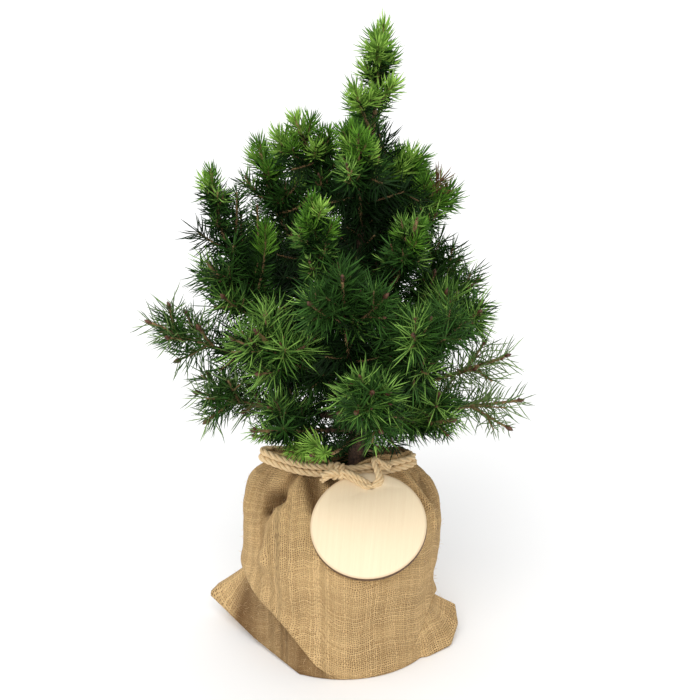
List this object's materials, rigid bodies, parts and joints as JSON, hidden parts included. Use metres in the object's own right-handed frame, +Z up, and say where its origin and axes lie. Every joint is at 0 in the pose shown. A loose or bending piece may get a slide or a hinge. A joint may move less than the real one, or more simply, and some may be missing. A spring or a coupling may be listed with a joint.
{
  "type": "sapling with root ball",
  "caption": "Young dwarf conifer whose root ball stands in a tied jute sack with a bare round wooden tag; a small plant for garden, patio or table scenes.",
  "frame": {"origin": "middle of the sack's flat underside", "axes": "+Z up the trunk, -Y to the side with the wooden tag, +X to the right as seen from that side"},
  "size_m": [0.2303, 0.2038, 0.3956],
  "materials": {
    "jute_cloth": "matte",
    "jute_rope": "matte",
    "peat_soil": "matte",
    "pale_plywood": "matte",
    "spruce_bark": "matte",
    "spruce_needles": "matte"
  },
  "bodies": {
    "root": {"bough_back_left": "spruce_bark", "bough_back_low_left": "spruce_bark", "bough_back_low_right": "spruce_bark", "bough_back_middle": "spruce_bark", "bough_back_right": "spruce_bark", "bough_back_right_high": "spruce_bark", "bough_front_base": "spruce_bark", "bough_front_base_left": "spruce_bark", "bough_front_base_right": "spruce_bark", "bough_front_left": "spruce_bark", "bough_front_left_high": "spruce_bark", "bough_front_low": "spruce_bark", "bough_front_middle": "spruce_bark", "bough_front_right": "spruce_bark", "bough_front_right_high": "spruce_bark", "bough_left_back_high": "spruce_bark", "bough_left_high": "spruce_bark", "bough_left_inner": "spruce_bark", "bough_left_low": "spruce_bark", "bough_left_middle": "spruce_bark", "bough_right_high": "spruce_bark", "bough_right_low": "spruce_bark", "bough_right_middle": "spruce_bark", "bough_right_outer": "spruce_bark", "foliage_back_left": "spruce_needles", "foliage_back_low_left": "spruce_needles", "foliage_back_low_right": "spruce_needles", "foliage_back_middle": "spruce_needles", "foliage_back_right": "spruce_needles", "foliage_back_right_high": "spruce_needles", "foliage_back_top": "spruce_needles", "foliage_front_base": "spruce_needles", "foliage_front_base_left": "spruce_needles", "foliage_front_base_right": "spruce_needles", "foliage_front_left": "spruce_needles", "foliage_front_left_high": "spruce_needles", "foliage_front_low": "spruce_needles", "foliage_front_middle": "spruce_needles", "foliage_front_right": "spruce_needles", "foliage_front_right_high": "spruce_needles", "foliage_front_top": "spruce_needles", "foliage_leader": "spruce_needles", "foliage_left_back_high": "spruce_needles", "foliage_left_high": "spruce_needles", "foliage_left_inner": "spruce_needles", "foliage_left_low": "spruce_needles", "foliage_left_middle": "spruce_needles", "foliage_left_top": "spruce_needles", "foliage_right_high": "spruce_needles", "foliage_right_low": "spruce_needles", "foliage_right_middle": "spruce_needles", "foliage_right_outer": "spruce_needles", "foliage_right_top": "spruce_needles", "jute_sack": "jute_cloth", "neck_rope": "jute_rope", "root_ball": "peat_soil", "trunk": "spruce_bark", "wooden_tag": "pale_plywood"}
  },
  "joints": []
}
